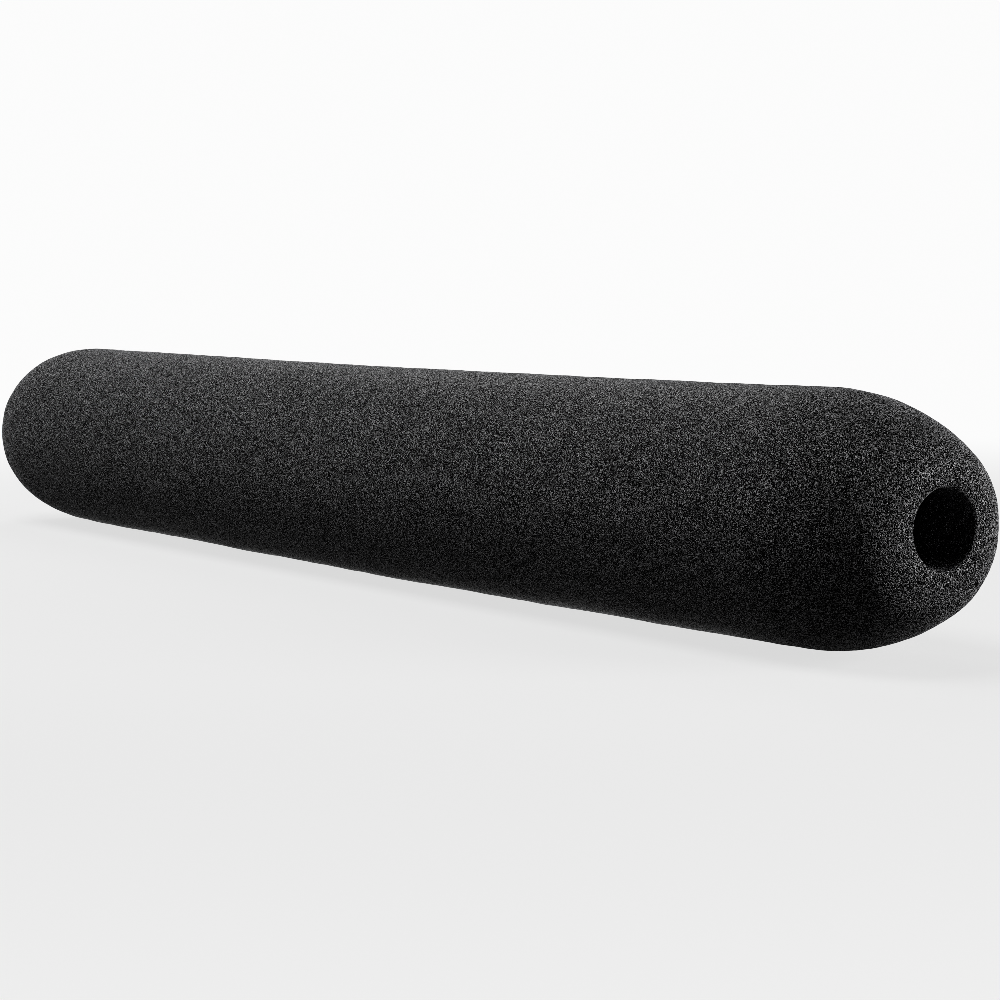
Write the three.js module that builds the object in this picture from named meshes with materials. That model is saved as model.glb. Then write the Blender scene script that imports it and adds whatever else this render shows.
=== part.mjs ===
// A long foam windscreen for a shotgun microphone, in millimetres, +Z up.
// The bore runs along X and opens at the +X end, the mouth. The -X end, the nose, is closed.
// The origin is on the bore axis, half way along the foam.
//
// Three pieces, all round about X:
//   foam_body    open-cell foam, bored right through and ground to shape outside
//   nose_plug    foam core set into the nose end of the bore, which closes it
//   grip_collar  rubber ring seated in the bore behind the mouth, which grips the microphone tube

import * as THREE from "three";

// Driving dimensions
const OUTER_D = 62;
const LENGTH = 470;
const BORE_D = 19;
const LIP_R = 0.6; // rounding between the mouth face and the bore

// The mouth end: a flat ring round the bore, a domed face outside it, then a long taper to the barrel.
// Each corner is at a distance back from the ring and a radius, and is rounded for blend on either side.
const MOUTH_CORNERS = [
  { back: 0, radius: 14.2, blend: 1.2 }, // from the ring to the domed face
  { back: 2.7, radius: 20, blend: 3.5 }, // from the face to the taper
  { back: 23.2, radius: 31, blend: 17 }, // from the taper to the barrel
];

// The nose end: a flat face of flatD inside a rounded shoulder of the given axial length.
// fullness is the shoulder's superellipse exponent: 1 is a straight cone, 2 a quarter ellipse.
const NOSE_END = { flatD: 34, shoulder: 36.5, fullness: 2.13 };

const PLUG_LENGTH = 32;
const PLUG_BEVEL = 1.5;

const COLLAR_SETBACK = 18; // from the mouth face to the collar
const COLLAR_LENGTH = 18;
const COLLAR_OUTER_D = 24.4;
const COLLAR_EDGE = 0.5; // bevel on the collar's outer edges
const RIB_COUNT = 3;
const RIB_HEIGHT = 0.5; // how far each rib stands in from the collar's inner wall
const RIB_WIDTH = 3;

const FIT_GAP = 0.2; // all round each piece that is set into the foam

// Facets
const AROUND = 48;
const SHOULDER_STEPS = 12;
const CORNER_STEPS = 5;
const LIP_STEPS = 3;
const RIB_STEPS = 4;

// Worked out from the dimensions above
const OUTER_R = OUTER_D / 2;
const BORE_R = BORE_D / 2;
const MOUTH_X = LENGTH / 2;
const NOSE_X = -LENGTH / 2;
const PLUG_R = BORE_R - FIT_GAP;
const COLLAR_R = COLLAR_OUTER_D / 2;
const COLLAR_FRONT_X = MOUTH_X - COLLAR_SETBACK;
const COLLAR_BACK_X = COLLAR_FRONT_X - COLLAR_LENGTH;

const FOAM_BLACK = 0x17181a;
const RUBBER_BLACK = 0x101011;

// A profile is a list of points: x along the bore axis, y the radius.
const at = (x, radius) => new THREE.Vector2(x, radius);

// Values from 0 to 1 in equal steps, both ends included.
const shares = (steps) => Array.from({ length: steps + 1 }, (_, i) => i / steps);

// The point a distance away from one point towards another.
const partWay = (from, to, distance) =>
  from.clone().add(to.clone().sub(from).setLength(distance));

// The outside of the mouth end, from the flat ring to the barrel.
function mouthShoulder() {
  const corners = MOUTH_CORNERS.map(({ back, radius }) => at(MOUTH_X - back, radius));
  const line = [at(MOUTH_X, BORE_R + LIP_R), ...corners, at(NOSE_X, OUTER_R)];
  return MOUTH_CORNERS.flatMap(({ blend }, i) => {
    const [before, corner, after] = line.slice(i, i + 3);
    return new THREE.QuadraticBezierCurve(
      partWay(corner, before, blend),
      corner,
      partWay(corner, after, blend),
    ).getPoints(CORNER_STEPS);
  });
}

// The outside of the nose end, from the barrel to the flat face.
function noseShoulder() {
  const flatR = NOSE_END.flatD / 2;
  const power = 2 / NOSE_END.fullness;
  return shares(SHOULDER_STEPS).map((share) => {
    const turn = (share * Math.PI) / 2;
    const along = NOSE_END.shoulder * (1 - Math.sin(turn) ** power);
    const rise = (OUTER_R - flatR) * Math.cos(turn) ** power;
    return at(NOSE_X + along, flatR + rise);
  });
}

// The quarter round from the bore wall out to the mouth face.
function lip() {
  return shares(LIP_STEPS).map((share) => {
    const turn = (share * Math.PI) / 2;
    return at(
      MOUTH_X - LIP_R * (1 - Math.sin(turn)),
      BORE_R + LIP_R * (1 - Math.cos(turn)),
    );
  });
}

// Turns a profile about X. Its points run along the outside from the mouth to the nose, then back inside.
// LatheGeometry turns about Y and wants the outside from low to high, so the order is reversed here.
function turned(profile) {
  const points = profile.map((p) => new THREE.Vector2(p.y, p.x)).reverse();
  return new THREE.LatheGeometry(points, AROUND).rotateZ(-Math.PI / 2);
}

function piece(name, profile, colour, roughness) {
  const material = new THREE.MeshStandardMaterial({
    color: colour,
    roughness,
    metalness: 0,
  });
  const mesh = new THREE.Mesh(turned(profile), material);
  mesh.name = name;
  return mesh;
}

function foamBody() {
  const seatR = COLLAR_R + FIT_GAP;
  const profile = [
    ...mouthShoulder(),
    ...noseShoulder(),
    at(NOSE_X, BORE_R),
    at(COLLAR_BACK_X - FIT_GAP, BORE_R),
    at(COLLAR_BACK_X - FIT_GAP, seatR),
    at(COLLAR_FRONT_X + FIT_GAP, seatR),
    at(COLLAR_FRONT_X + FIT_GAP, BORE_R),
    ...lip(),
    at(MOUTH_X, MOUTH_CORNERS[0].radius - MOUTH_CORNERS[0].blend),
  ];
  return piece("foam_body", profile, FOAM_BLACK, 0.95);
}

// The plug is flush with the nose face. Its bevelled inner end is what the microphone stops against.
function nosePlug() {
  const innerX = NOSE_X + PLUG_LENGTH;
  const profile = [
    at(innerX, 0),
    at(innerX, PLUG_R - PLUG_BEVEL),
    at(innerX - PLUG_BEVEL, PLUG_R),
    at(NOSE_X, PLUG_R),
    at(NOSE_X, 0),
  ];
  return piece("nose_plug", profile, FOAM_BLACK, 0.95);
}

// The inner wall of the collar from back to front: round-topped ribs with plain wall between them.
function ribbedWall() {
  const pitch = COLLAR_LENGTH / RIB_COUNT;
  const points = [];
  for (let rib = 0; rib < RIB_COUNT; rib++) {
    const centreX = COLLAR_BACK_X + (rib + 0.5) * pitch;
    for (const share of shares(RIB_STEPS)) {
      const height = RIB_HEIGHT * Math.sin(share * Math.PI);
      points.push(at(centreX + (share - 0.5) * RIB_WIDTH, BORE_R - height));
    }
  }
  return points;
}

function gripCollar() {
  const outer = [
    at(COLLAR_FRONT_X, COLLAR_R - COLLAR_EDGE),
    at(COLLAR_FRONT_X - COLLAR_EDGE, COLLAR_R),
    at(COLLAR_BACK_X + COLLAR_EDGE, COLLAR_R),
    at(COLLAR_BACK_X, COLLAR_R - COLLAR_EDGE),
  ];
  const profile = [
    at(COLLAR_FRONT_X, BORE_R),
    ...outer,
    at(COLLAR_BACK_X, BORE_R),
    ...ribbedWall(),
    at(COLLAR_FRONT_X, BORE_R),
  ];
  return piece("grip_collar", profile, RUBBER_BLACK, 0.6);
}

const windscreen = new THREE.Group();
windscreen.add(foamBody(), nosePlug(), gripCollar());

export default windscreen;
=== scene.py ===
"""Looks for a long black foam windscreen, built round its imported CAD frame. Lengths are in metres.

The bore runs along X, the mouth faces +X and the closed nose faces -X, as in the frame.
Each piece is turned from an outline of (x, radius) points. The foam's meshes then get the
unevenness of cut foam, every mesh follows the foam's slight set, and finer grain comes from
the materials.
"""

import math

import bpy
import numpy as np
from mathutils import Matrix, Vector, noise


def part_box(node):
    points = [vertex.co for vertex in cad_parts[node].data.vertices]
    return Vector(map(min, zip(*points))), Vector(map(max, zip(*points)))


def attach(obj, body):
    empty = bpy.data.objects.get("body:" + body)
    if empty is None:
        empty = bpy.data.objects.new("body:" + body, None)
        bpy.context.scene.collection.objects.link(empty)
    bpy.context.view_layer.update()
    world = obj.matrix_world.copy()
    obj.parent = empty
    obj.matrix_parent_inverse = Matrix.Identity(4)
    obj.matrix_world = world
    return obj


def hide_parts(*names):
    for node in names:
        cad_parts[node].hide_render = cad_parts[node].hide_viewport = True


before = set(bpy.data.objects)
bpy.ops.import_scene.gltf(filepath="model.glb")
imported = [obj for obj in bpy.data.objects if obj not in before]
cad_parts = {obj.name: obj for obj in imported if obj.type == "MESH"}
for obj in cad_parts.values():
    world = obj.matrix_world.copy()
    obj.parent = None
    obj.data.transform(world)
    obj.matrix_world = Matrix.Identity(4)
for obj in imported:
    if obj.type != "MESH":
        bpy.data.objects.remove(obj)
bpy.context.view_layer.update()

MM = 0.001
SEED = 7

# ---------------------------------------------------------------- sizes from the CAD frame
BODY_LOW, BODY_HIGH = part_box("foam_body")
PLUG_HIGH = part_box("nose_plug")[1]
COLLAR_LOW, COLLAR_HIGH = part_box("grip_collar")

MOUTH_X = BODY_HIGH.x
NOSE_X = BODY_LOW.x
HALF_LENGTH = (MOUTH_X - NOSE_X) / 2
OUTER_R = BODY_HIGH.y
PLUG_R = PLUG_HIGH.y
COLLAR_R = COLLAR_HIGH.y

# ---------------------------------------------------------------- outlines, as in the CAD
BORE_R = 9.5 * MM
LIP_R = 0.6 * MM
FIT_GAP = 0.2 * MM  # between the collar and its seat in the foam
MOUTH_CORNERS = [  # mm back from the mouth, radius, and how far each side of the corner is rounded
    (0, 14.2, 1.2),
    (2.7, 20, 3.5),
    (23.2, 31, 17),
]
NOSE_FLAT_R = 17 * MM
NOSE_SHOULDER = 36.5 * MM
NOSE_FULLNESS = 2.13  # 2 is an ellipse, and more is squarer
PLUG_BEVEL = 1.5 * MM
COLLAR_EDGE = 0.5 * MM
COLLAR_RIBS = 3
RIB_HEIGHT = 0.5 * MM
RIB_WIDTH = 3 * MM

# ---------------------------------------------------------------- unevenness of the real thing
BOW = 1.16 * MM  # the foam has taken a slight set, so its ends stand this much above its middle
BORE_RISE = 0.4 * MM  # the bore is cut a little above the middle of the foam
RISE_FULL_TO = COLLAR_R + 1 * MM  # the rise fades out between these two radii
RISE_ENDS_AT = COLLAR_R + 10 * MM
SWELL = 0.45 * MM  # slow change of diameter along the foam
SWELL_LENGTH = 45 * MM
SWELL_OFFSET = 3.1
WAVE = 0.12 * MM  # gentle hollows left by the shaping
WAVE_LENGTH = 7 * MM
WAVE_OFFSET = 11.7
GRAIN = 0.035 * MM  # cut cells standing in and out of the skin
JITTER = 0.28 * MM  # how far the cut cells sit from an even grid

RIM_SMOOTH = 0.1 * MM  # the skin is even this close to the bore's wall or the plug's side
RIM_UNEVEN = 0.9 * MM  # and fully uneven from here on
SEAT_MARGIN = 1 * MM  # the foam is even within this distance of the collar's seat
THROAT_UNEVEN = 3 * MM  # the bore is uneven from this far in front of the seat, out to the mouth
THROAT_SHARE = 0.5
PLUG_SHARE = 0.6

# ---------------------------------------------------------------- mesh fineness
SKIN_GAP = 1.12 * MM
SEAT_GAP = 3 * SKIN_GAP
DEEP_BORE_GAP = 7 * MM
LIP_GAP = 0.3 * MM
BODY_AROUND = 176
PLUG_GAP = 0.6 * MM
PLUG_AROUND = 96
COLLAR_GAP = 0.4 * MM
COLLAR_AROUND = 128
RIB_POINTS = 13
EDGE_STEPS = 5
LIP_STEPS = 24
MOUTH_CORNER_POINTS = 60
NOSE_POINTS = 400

# ---------------------------------------------------------------- foam, lengths in millimetres
CELL = 0.5  # across one cell
CELL_WOBBLE = 0.5  # how far the cells are pulled out of shape
CELL_WOBBLE_SIZE = 0.9
STRUT_CORE = 0.04  # in cells from the middle of a strut: full strut to here
STRUT_ENDS = 0.24  # and nothing but the pit from here
FACET = 0.25  # across one glinting facet of a strut
GLINT_POWER = 3.5  # higher means fewer facets catch the light
STRUT_DARK = 0.008
# how bright the glint painted into the struts' colour is, where a facet stands for catching the
# light
STRUT_PAINTED_GLINT = 0.57
STRUT_GLOSS = 2.8
FOAM_ROUGHNESS = 0.45
TONE_SIZE = 9  # slow patches that are a little darker or lighter
TONE_SPREAD = 0.15
# the foam's colour is made lighter towards its outline, partly because the struts there hide the
# pits and partly as a painted rim sheen
SLANT_POWER = 7.0  # higher keeps the effect closer to the outline
SLANT_GAIN = 5.0
GREY_LIMIT = 0.7
BLUE_SHARE = 1.03  # the foam is very slightly cool
FACET_LIFT = 0.6  # the height of a facet, as a share of a strut's
FOAM_BUMP = 0.12
FOAM_BUMP_STRENGTH = 0.8

# ---------------------------------------------------------------- rubber, lengths in millimetres
RUBBER_CLEAN = (0.014, 0.014, 0.015, 1)
RUBBER_DUSTY = (0.03, 0.03, 0.029, 1)
RUBBER_GRAIN = 0.35
RUBBER_BUMP = 0.03
RUBBER_BUMP_STRENGTH = 0.5
RUBBER_SMOOTHEST = 0.45
RUBBER_ROUGHEST = 0.7
RUBBER_SHINE = 0.35
DUST_PATCH = 6

# ---------------------------------------------------------------- floor and backdrop
BACKDROP = 0.97
FLOOR_RADIUS = 6.0
FLOOR_SIDES = 96
FLOOR_Z = BODY_LOW.z - SWELL - GRAIN
FLOOR_GREY = 0.93
FLOOR_GLOW = 0.04  # what the foam sees of the floor, where the camera sees it pale
UNDER_GLOW = 0.4  # the same, in the strip right under the foam, which lights its lower edge
UNDER_NEAR = 5 * MM  # the strip fades out between these two distances from the axis
UNDER_FAR = 14 * MM
UNDER_FULL_TO = 150 * MM  # and between these two places along it, because the mouth's edge is dark
UNDER_ENDS_AT = 190 * MM
FLOOR_FLAT_SHARE = 0.7  # how much of the floor's brightness shadows don't touch, near the foam
FLOOR_LIT_TO = 0.28  # shadows fade out between these two distances, and the floor is even beyond
FLOOR_FLAT_FROM = 0.75

# ---------------------------------------------------------------- lights and camera
SOFTBOX_SIZE = 0.45
SOFTBOX_DISTANCE = 0.9
SOFTBOXES = [  # name, azimuth and elevation in degrees, radiance
    ("above", 0, 68, 3.6),
    ("mouth_side", 120, 8, 6.9),
    ("mouth_rim", 165, 3, 3.1),
    ("nose_front", 330, 15, 1.9),
    ("nose_side", 300, 40, 2.05),
    ("behind", 240, 40, 1.7),
]
VIEW_AZIMUTH = 55.8
VIEW_ELEVATION = 4.96
VIEW_DISTANCE = 0.7258
AIM = Vector((57.83 * MM, 0, -4.56 * MM))
LENS = 93.23
SENSOR = 36.0
CLIP_NEAR = 0.02
CLIP_FAR = 40
PIXEL_FILTER = 0.6


# ================================================================ outlines
def mouth_shoulder():
    """Points of the mouth end from its flat ring to the barrel, with each corner rounded."""
    corners = [Vector((MOUTH_X - back * MM, radius * MM)) for back, radius, _ in MOUTH_CORNERS]
    line = [Vector((MOUTH_X, BORE_R)), *corners, Vector((0, OUTER_R))]
    points = []
    for i, (_, _, blend) in enumerate(MOUTH_CORNERS):
        corner = line[i + 1]
        start = corner + (line[i] - corner).normalized() * blend * MM
        end = corner + (line[i + 2] - corner).normalized() * blend * MM
        for t in np.linspace(0, 1, MOUTH_CORNER_POINTS):
            points.append(tuple(start * (1 - t) ** 2 + corner * 2 * t * (1 - t) + end * t**2))
    return points


def nose_shoulder():
    """Points of the nose end from the barrel to its flat face."""
    power = 2 / NOSE_FULLNESS
    points = []
    for turn in np.linspace(0, math.pi / 2, NOSE_POINTS):
        along = NOSE_SHOULDER * (1 - math.sin(turn) ** power)
        rise = (OUTER_R - NOSE_FLAT_R) * max(math.cos(turn), 0) ** power
        points.append((NOSE_X + along, NOSE_FLAT_R + rise))
    return points


def arc(x, radius, size, start, end, steps):
    """Points on an arc round (x, radius), with angles in degrees from +X towards larger radius."""
    return [
        (x + size * math.cos(turn), radius + size * math.sin(turn))
        for turn in np.radians(np.linspace(start, end, steps + 1))
    ]


def spaced(points, gap):
    """The same line with its points about gap apart, both ends included."""
    line = np.array(points, float)
    along = np.concatenate([[0], np.cumsum(np.hypot(*np.diff(line, axis=0).T))])
    at = np.linspace(0, along[-1], max(1, round(along[-1] / gap)) + 1)
    return np.stack([np.interp(at, along, line[:, k]) for k in (0, 1)], axis=1)


def joined(*runs):
    """One outline from runs that each start where the one before ends, without its last point."""
    return np.concatenate([run[:-1] for run in runs])


# ================================================================ turned meshes
def ring_points(outline, around):
    """Points of each outline point's ring. Every other ring is turned half a step."""
    step = 2 * math.pi / around
    odd = np.arange(len(outline))[:, None] % 2
    turn = step * (np.arange(around)[None, :] + odd / 2)
    x = np.repeat(outline[:, :1], around, axis=1)
    r = outline[:, 1:]
    return np.stack([x, r * np.cos(turn), r * np.sin(turn)], axis=2).reshape(-1, 3)


def ring_faces(rings, around, closed):
    """Triangles between neighbouring rings. closed joins the last ring to the first.

    They face out where the outline runs from the mouth to the nose.
    """
    k = np.arange(around)
    k_next = (k + 1) % around
    faces = []
    for i in range(rings if closed else rings - 1):
        j = (i + 1) % rings
        a = i * around + k
        a_next = i * around + k_next
        b = j * around + k
        b_next = j * around + k_next
        if i % 2 == 0 and j % 2 == 1:
            faces += [np.stack([a, b, a_next], 1), np.stack([a_next, b, b_next], 1)]
        else:
            faces += [np.stack([a, b_next, a_next], 1), np.stack([a, b, b_next], 1)]
    return np.concatenate(faces)


def tip_faces(rings, around, first_tip, last_tip):
    """Fans that close the two ends of an open outline on the axis."""
    k = np.arange(around)
    k_next = (k + 1) % around
    end = (rings - 1) * around
    first = np.stack([np.full(around, first_tip), k, k_next], 1)
    last = np.stack([np.full(around, last_tip), end + k_next, end + k], 1)
    return np.concatenate([first, last])


def normals_of(points, faces):
    """The direction each point's skin faces, as unit vectors."""
    corner = points[faces]
    face_normal = np.cross(corner[:, 1] - corner[:, 0], corner[:, 2] - corner[:, 0])
    normal = np.zeros_like(points)
    for c in range(3):
        np.add.at(normal, faces[:, c], face_normal)
    return normal / np.maximum(np.linalg.norm(normal, axis=1, keepdims=True), 1e-12)


def add_mesh(name, points, faces):
    mesh = bpy.data.meshes.new(name)
    mesh.vertices.add(len(points))
    mesh.vertices.foreach_set("co", points.ravel())
    mesh.loops.add(faces.size)
    mesh.loops.foreach_set("vertex_index", faces.ravel().astype(np.int32))
    mesh.polygons.add(len(faces))
    mesh.polygons.foreach_set("loop_start", np.arange(0, faces.size, 3, dtype=np.int32))
    mesh.update(calc_edges=True)
    mesh.validate()
    mesh.shade_smooth()
    obj = bpy.data.objects.new(name, mesh)
    bpy.context.scene.collection.objects.link(obj)
    return obj


# ================================================================ unevenness
def smooth_step(value, low, high):
    t = np.clip((value - low) / (high - low), 0, 1)
    return t * t * (3 - 2 * t)


def radius_of(points):
    return np.hypot(points[:, 1], points[:, 2])


def field(points, length, offset):
    """Smooth noise, about -1 to 1, that changes over the given length."""
    shift = Vector((offset, 2.7 * offset, -1.3 * offset))
    return np.array([noise.noise(Vector(p) / length + shift) for p in points])


def bowed(points):
    """The points of any piece, following the whole windscreen's set and the rise of its bore."""
    near_bore = 1 - smooth_step(radius_of(points), RISE_FULL_TO, RISE_ENDS_AT)
    moved = points.copy()
    moved[:, 2] += BOW * (points[:, 0] / HALF_LENGTH) ** 2 + BORE_RISE * near_bore
    return moved


def foam_skin(points, faces, amount, rng):
    """Points moved as cut foam's are. amount is how much each point moves, from 0 to 1."""
    normal = normals_of(points, faces)
    lift = SWELL * field(points, SWELL_LENGTH, SWELL_OFFSET)
    lift += WAVE * field(points, WAVE_LENGTH, WAVE_OFFSET)
    lift += GRAIN * rng.uniform(-1, 1, len(points))
    sideways = rng.uniform(-1, 1, points.shape) * JITTER
    sideways -= normal * np.sum(normal * sideways, axis=1, keepdims=True)
    return points + (normal * lift[:, None] + sideways) * amount[:, None]


# ================================================================ pieces
def body_outline():
    """From the mouth's flat ring over the skin to the nose, and back along the bore to the lip."""
    seat_r = COLLAR_R + FIT_GAP
    seat_back = COLLAR_LOW.x - FIT_GAP
    seat_front = COLLAR_HIGH.x + FIT_GAP
    ring_edge = (MOUTH_X, BORE_R + LIP_R)
    mouth = mouth_shoulder()
    nose = nose_shoulder()
    lip = arc(MOUTH_X - LIP_R, BORE_R + LIP_R, LIP_R, -90, 0, LIP_STEPS)
    return joined(
        spaced([ring_edge, mouth[0]], SKIN_GAP),
        spaced(mouth + nose, SKIN_GAP),
        spaced([nose[-1], (NOSE_X, BORE_R)], SKIN_GAP),
        spaced([(NOSE_X, BORE_R), (seat_back, BORE_R)], DEEP_BORE_GAP),
        spaced([(seat_back, BORE_R), (seat_back, seat_r)], SKIN_GAP),
        spaced([(seat_back, seat_r), (seat_front, seat_r)], SEAT_GAP),
        spaced([(seat_front, seat_r), (seat_front, BORE_R)], SKIN_GAP),
        spaced([(seat_front, BORE_R), lip[0]], SKIN_GAP),
        spaced(lip, LIP_GAP),
    )


def make_body(rng):
    outline = body_outline()
    points = ring_points(outline, BODY_AROUND)
    faces = ring_faces(len(outline), BODY_AROUND, closed=True)
    x = points[:, 0]
    radius = radius_of(points)
    seat_ends = COLLAR_HIGH.x + SEAT_MARGIN
    outside = smooth_step(radius, BORE_R + RIM_SMOOTH, BORE_R + RIM_UNEVEN)
    throat = THROAT_SHARE * smooth_step(x, seat_ends, COLLAR_HIGH.x + THROAT_UNEVEN)
    along_seat = (x < seat_ends) & (x > COLLAR_LOW.x - SEAT_MARGIN)
    in_seat = along_seat & (radius < COLLAR_R + SEAT_MARGIN)
    amount = np.where(in_seat, 0, np.maximum(outside, throat))
    return add_mesh("foam_body_skin", bowed(foam_skin(points, faces, amount, rng)), faces)


def make_plug(rng):
    """The core that closes the nose, sanded flush with it, with the same cut cells on its face."""
    inner_x = PLUG_HIGH.x
    inner_edge = (inner_x, PLUG_R - PLUG_BEVEL)
    side_start = (inner_x - PLUG_BEVEL, PLUG_R)
    side = joined(
        spaced([(inner_x, PLUG_GAP), inner_edge], 4 * PLUG_GAP),
        spaced([inner_edge, side_start], PLUG_GAP),
        spaced([side_start, (NOSE_X, PLUG_R)], 6 * PLUG_GAP),
    )
    face = spaced([(NOSE_X, PLUG_R), (NOSE_X, PLUG_GAP)], PLUG_GAP)
    outline = np.concatenate([side, face])
    rings = ring_points(outline, PLUG_AROUND)
    tips = np.array([[inner_x, 0, 0], [NOSE_X, 0, 0]])
    points = np.concatenate([rings, tips])
    skin = ring_faces(len(outline), PLUG_AROUND, closed=False)
    ends = tip_faces(len(outline), PLUG_AROUND, len(rings), len(rings) + 1)
    faces = np.concatenate([skin, ends])
    amount = 1 - smooth_step(radius_of(points), PLUG_R - RIM_UNEVEN, PLUG_R - RIM_SMOOTH)
    moved = foam_skin(points, faces, PLUG_SHARE * amount, rng)
    return add_mesh("nose_plug_core", bowed(moved), faces)


def make_collar():
    """The moulded grip ring, with round-topped ribs inside."""
    back = COLLAR_LOW.x
    front = COLLAR_HIGH.x
    pitch = (front - back) / COLLAR_RIBS
    inside = []
    for rib in range(COLLAR_RIBS):
        centre = back + (rib + 0.5) * pitch
        for share in np.linspace(0, 1, RIB_POINTS):
            height = RIB_HEIGHT * math.sin(share * math.pi)
            inside.append((centre + (share - 0.5) * RIB_WIDTH, BORE_R - height))
    edge_r = COLLAR_R - COLLAR_EDGE
    outside = arc(front - COLLAR_EDGE, edge_r, COLLAR_EDGE, 0, 90, EDGE_STEPS)
    outside += arc(back + COLLAR_EDGE, edge_r, COLLAR_EDGE, 90, 180, EDGE_STEPS)
    line = [(front, BORE_R)] + outside + [(back, BORE_R)] + inside + [(front, BORE_R)]
    outline = joined(spaced(line, COLLAR_GAP))
    points = ring_points(outline, COLLAR_AROUND)
    faces = ring_faces(len(outline), COLLAR_AROUND, closed=True)
    return add_mesh("grip_collar_ring", bowed(points), faces)


# ================================================================ materials
def grey_colour(level):
    return (level, level, level, 1)


class Shader:
    """A new material's nodes, with one short call for each."""

    def __init__(self, name):
        self.material = bpy.data.materials.new(name)
        self.material.use_nodes = True
        self.tree = self.material.node_tree
        self.principled = self.tree.nodes["Principled BSDF"]
        self.output = self.tree.nodes["Material Output"]

    def put(self, socket, value):
        if isinstance(value, bpy.types.NodeSocket):
            self.tree.links.new(value, socket)
        elif value is not None:
            socket.default_value = value

    def node(self, kind, inputs=(), **settings):
        made = self.tree.nodes.new(kind)
        for key, value in settings.items():
            setattr(made, key, value)
        for key, value in dict(inputs).items():
            self.put(made.inputs[key], value)
        return made

    def place(self):
        """The piece's own coordinates, in metres."""
        return self.node("ShaderNodeTexCoord").outputs["Object"]

    def math(self, operation, a, b=None, c=None):
        return self.node("ShaderNodeMath", {0: a, 1: b, 2: c}, operation=operation).outputs[0]

    def vector(self, operation, a, b):
        return self.node("ShaderNodeVectorMath", {0: a, 1: b}, operation=operation).outputs[0]

    def scale(self, vector, factor):
        made = self.node("ShaderNodeVectorMath", {0: vector, "Scale": factor}, operation="SCALE")
        return made.outputs[0]

    def noise(self, at, size, detail, roughness=0.5):
        """A noise node with features of about size, in the units of at."""
        inputs = {"Vector": at, "Scale": 1 / size, "Detail": detail, "Roughness": roughness}
        return self.node("ShaderNodeTexNoise", inputs)

    def voronoi(self, at, size, feature):
        """A node of irregular cells about size across, in the units of at."""
        inputs = {"Vector": at, "Scale": 1 / size}
        return self.node("ShaderNodeTexVoronoi", inputs, feature=feature)

    def ramp(self, value, low, high, to_low=0.0, to_high=1.0, smooth=True):
        """value from low..high to to_low..to_high, clamped."""
        kind = "SMOOTHSTEP" if smooth else "LINEAR"
        inputs = {
            "Value": value,
            "From Min": low,
            "From Max": high,
            "To Min": to_low,
            "To Max": to_high,
        }
        return self.node("ShaderNodeMapRange", inputs, interpolation_type=kind).outputs[0]

    def mix(self, factor, a, b):
        made = self.node("ShaderNodeMix", data_type="RGBA")
        self.put(made.inputs[0], factor)
        self.put(made.inputs[6], a)
        self.put(made.inputs[7], b)
        return made.outputs[2]

    def bump(self, height, distance, strength):
        inputs = {"Height": height, "Distance": distance, "Strength": strength}
        return self.node("ShaderNodeBump", inputs).outputs[0]

    def surface(self, **inputs):
        for key, value in inputs.items():
            self.put(self.principled.inputs[key.replace("_", " ")], value)


def foam_material():
    """Open-cell foam: struts round pits that are painted black as the shade in their holes, and
    facets of the struts that catch the light, with a glint painted into their colour as well as a
    shine.
    """
    s = Shader("black_foam")
    at = s.scale(s.place(), 1 / MM)
    wobble = s.noise(at, CELL_WOBBLE_SIZE, detail=1).outputs["Color"]
    wobble = s.vector("SUBTRACT", wobble, (0.5, 0.5, 0.5))
    bent = s.vector("ADD", at, s.scale(wobble, CELL_WOBBLE))
    edge = s.voronoi(bent, CELL, "DISTANCE_TO_EDGE").outputs["Distance"]
    # net is 1 on the struts and 0 in the pits, whose black is painted shade standing for the dark of
    # the holes
    net = s.ramp(edge, STRUT_CORE, STRUT_ENDS, 1.0, 0.0)
    facet = s.voronoi(at, FACET, "F1").outputs["Color"]
    chance = s.node("ShaderNodeSeparateColor", {0: facet}).outputs[0]
    glint = s.math("POWER", chance, GLINT_POWER)
    patch = s.noise(at, TONE_SIZE, detail=3).outputs["Fac"]
    tone = s.ramp(patch, 0.3, 0.7, 1 - TONE_SPREAD, 1 + TONE_SPREAD, smooth=False)
    # A painted glint: the struts' colour is made lighter on the facets that stand for catching the
    # light
    strut = s.math("MULTIPLY_ADD", glint, STRUT_PAINTED_GLINT, STRUT_DARK)
    # Seen along the skin, the struts hide the pits between them, and the lightening towards the
    # outline is also a painted rim sheen
    slant = s.math("POWER", s.node("ShaderNodeLayerWeight").outputs["Facing"], SLANT_POWER)
    closed = s.math("MULTIPLY_ADD", slant, SLANT_GAIN, 1.0)
    # net paints the pits black as shade, strut carries the painted glint, and closed the painted rim
    # sheen
    grey = s.math("MULTIPLY", s.math("MULTIPLY", net, tone), s.math("MULTIPLY", strut, closed))
    grey = s.math("MINIMUM", grey, GREY_LIMIT)
    blue = s.math("MULTIPLY", grey, BLUE_SHARE)
    height = s.math("MULTIPLY_ADD", chance, FACET_LIFT, net)
    s.surface(
        Base_Color=s.node("ShaderNodeCombineColor", {0: grey, 1: grey, 2: blue}).outputs[0],
        Roughness=FOAM_ROUGHNESS,
        Specular_IOR_Level=s.math("MULTIPLY", s.math("MULTIPLY", glint, net), STRUT_GLOSS),
        Normal=s.bump(height, FOAM_BUMP * MM, FOAM_BUMP_STRENGTH),
    )
    return s.material


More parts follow.
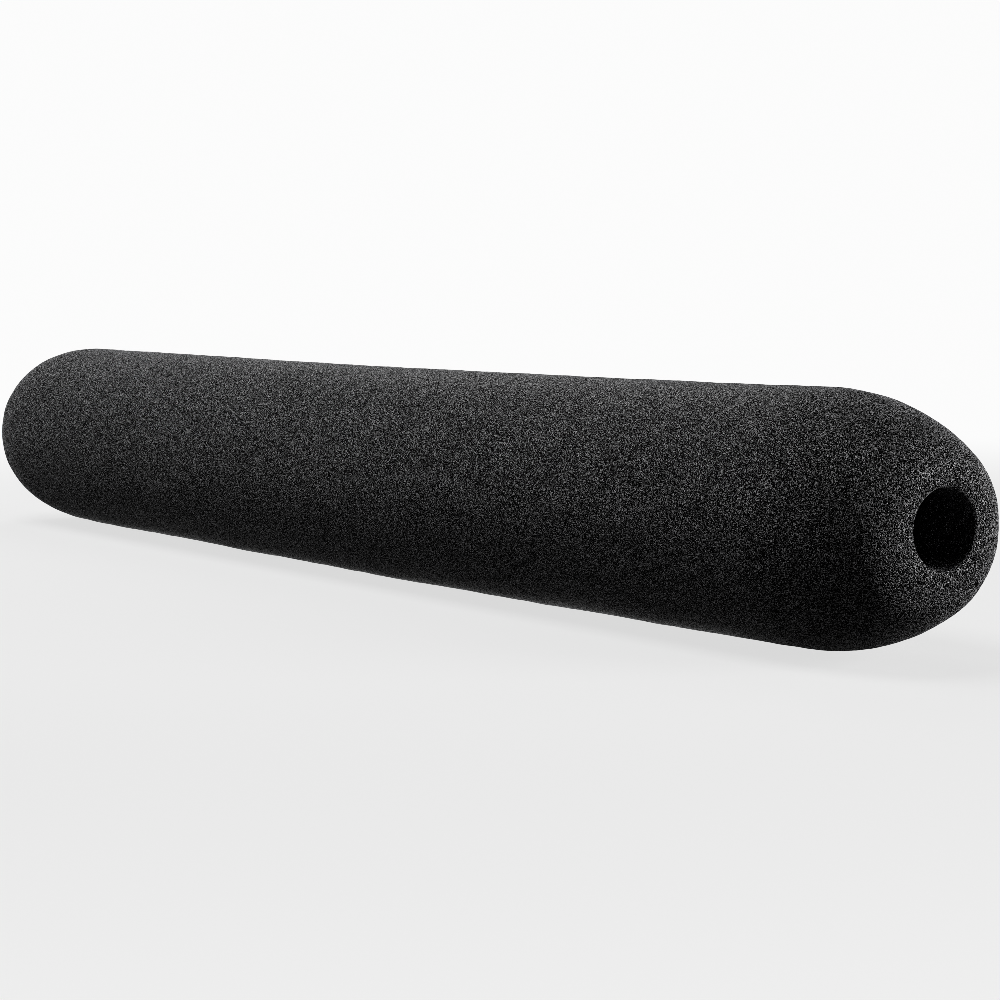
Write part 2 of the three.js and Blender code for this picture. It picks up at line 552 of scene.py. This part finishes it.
def rubber_material():
    """Matt moulded rubber with a fine grain and patches of dust."""
    s = Shader("black_rubber")
    at = s.scale(s.place(), 1 / MM)
    grain = s.noise(at, RUBBER_GRAIN, detail=4, roughness=0.6).outputs["Fac"]
    dust = s.ramp(s.noise(at, DUST_PATCH, detail=3).outputs["Fac"], 0.45, 0.75)
    s.surface(
        Base_Color=s.mix(dust, RUBBER_CLEAN, RUBBER_DUSTY),
        Roughness=s.ramp(grain, 0.3, 0.7, RUBBER_SMOOTHEST, RUBBER_ROUGHEST),
        Specular_IOR_Level=RUBBER_SHINE,
        Normal=s.bump(grain, RUBBER_BUMP * MM, RUBBER_BUMP_STRENGTH),
    )
    return s.material


def floor_material():
    """Pale where the camera sees it, with a soft shadow near the foam.

    To other rays it is nearly black, so that the foam's underside stays dark, as over a floor
    that is far below.
    """
    s = Shader("pale_floor")
    at = s.place()
    away = s.node("ShaderNodeVectorMath", {0: at}, operation="LENGTH").outputs["Value"]
    flat_share = s.ramp(away, FLOOR_LIT_TO, FLOOR_FLAT_FROM, FLOOR_FLAT_SHARE, 1)
    lit = s.node("ShaderNodeBsdfDiffuse", {"Color": grey_colour(FLOOR_GREY)}).outputs[0]
    flat = s.node("ShaderNodeEmission", {"Color": grey_colour(BACKDROP)}).outputs[0]
    seen = s.node("ShaderNodeMixShader", {0: flat_share, 1: lit, 2: flat}).outputs[0]
    split = s.node("ShaderNodeSeparateXYZ", {0: at}).outputs
    beside = s.ramp(s.math("ABSOLUTE", split["Y"]), UNDER_NEAR, UNDER_FAR, 1, 0)
    behind_mouth = s.ramp(split["X"], UNDER_FULL_TO, UNDER_ENDS_AT, 1, 0)
    under = s.math("MULTIPLY", beside, behind_mouth)
    level = s.ramp(under, 0, 1, FLOOR_GLOW, UNDER_GLOW, smooth=False)
    glow = s.node("ShaderNodeEmission", {"Strength": level}).outputs[0]
    by_camera = s.node("ShaderNodeLightPath").outputs["Is Camera Ray"]
    both = s.node("ShaderNodeMixShader", {0: by_camera, 1: glow, 2: seen}).outputs[0]
    s.put(s.output.inputs["Surface"], both)
    return s.material


# ================================================================ stage, light and camera
def add_floor():
    turn = np.linspace(0, 2 * math.pi, FLOOR_SIDES + 1)[:-1]
    points = np.stack([np.cos(turn), np.sin(turn), np.zeros_like(turn)], 1) * FLOOR_RADIUS
    mesh = bpy.data.meshes.new("floor")
    mesh.from_pydata(points.tolist(), [], [list(range(len(points)))])
    mesh.materials.append(floor_material())
    obj = bpy.data.objects.new("floor", mesh)
    obj.location.z = FLOOR_Z
    bpy.context.scene.collection.objects.link(obj)


def add_world():
    """The pale backdrop. Only the camera sees it, so no light comes from it."""
    world = bpy.data.worlds.new("studio")
    world.use_nodes = True
    tree = world.node_tree
    background = tree.nodes["Background"]
    background.inputs["Color"].default_value = grey_colour(BACKDROP)
    path = tree.nodes.new("ShaderNodeLightPath")
    tree.links.new(path.outputs["Is Camera Ray"], background.inputs["Strength"])
    bpy.context.scene.world = world


def facing(azimuth, elevation):
    """The direction towards an azimuth, from -Y towards +X, and an elevation, in degrees."""
    turn = math.radians(azimuth)
    rise = math.radians(elevation)
    level = math.cos(rise)
    return Vector((math.sin(turn) * level, -math.cos(turn) * level, math.sin(rise)))


def stand(obj, target, towards, distance):
    """Puts a light or a camera at a distance from the target, turned to face it."""
    obj.location = target + towards * distance
    obj.rotation_mode = "QUATERNION"
    obj.rotation_quaternion = (-towards).to_track_quat("-Z", "Y")
    bpy.context.scene.collection.objects.link(obj)


def add_softbox(name, azimuth, elevation, radiance):
    data = bpy.data.lights.new(name, "AREA")
    data.size = SOFTBOX_SIZE
    data.energy = radiance * math.pi * SOFTBOX_SIZE**2
    obj = bpy.data.objects.new(name, data)
    obj.visible_camera = False
    stand(obj, Vector((0, 0, 0)), facing(azimuth, elevation), SOFTBOX_DISTANCE)


def add_camera():
    data = bpy.data.cameras.new("camera")
    data.lens = LENS
    data.sensor_width = SENSOR
    data.clip_start = CLIP_NEAR
    data.clip_end = CLIP_FAR
    obj = bpy.data.objects.new("camera", data)
    stand(obj, AIM, facing(VIEW_AZIMUTH, VIEW_ELEVATION), VIEW_DISTANCE)
    bpy.context.scene.camera = obj


# ================================================================ building it
def finish_piece(obj, node, material):
    obj.data.materials.append(material)
    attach(obj, "root")
    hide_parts(node)


rng = np.random.default_rng(SEED)
foam = foam_material()
finish_piece(make_body(rng), "foam_body", foam)
finish_piece(make_plug(rng), "nose_plug", foam)
finish_piece(make_collar(), "grip_collar", rubber_material())

add_floor()
add_world()
for softbox in SOFTBOXES:
    add_softbox(*softbox)
add_camera()

scene = bpy.context.scene
scene.view_settings.view_transform = "Standard"
# The foam's grain is about as fine as a pixel, so the picture is kept crisp
scene.cycles.filter_width = PIXEL_FILTER
scene.cycles.denoising_prefilter = "NONE"
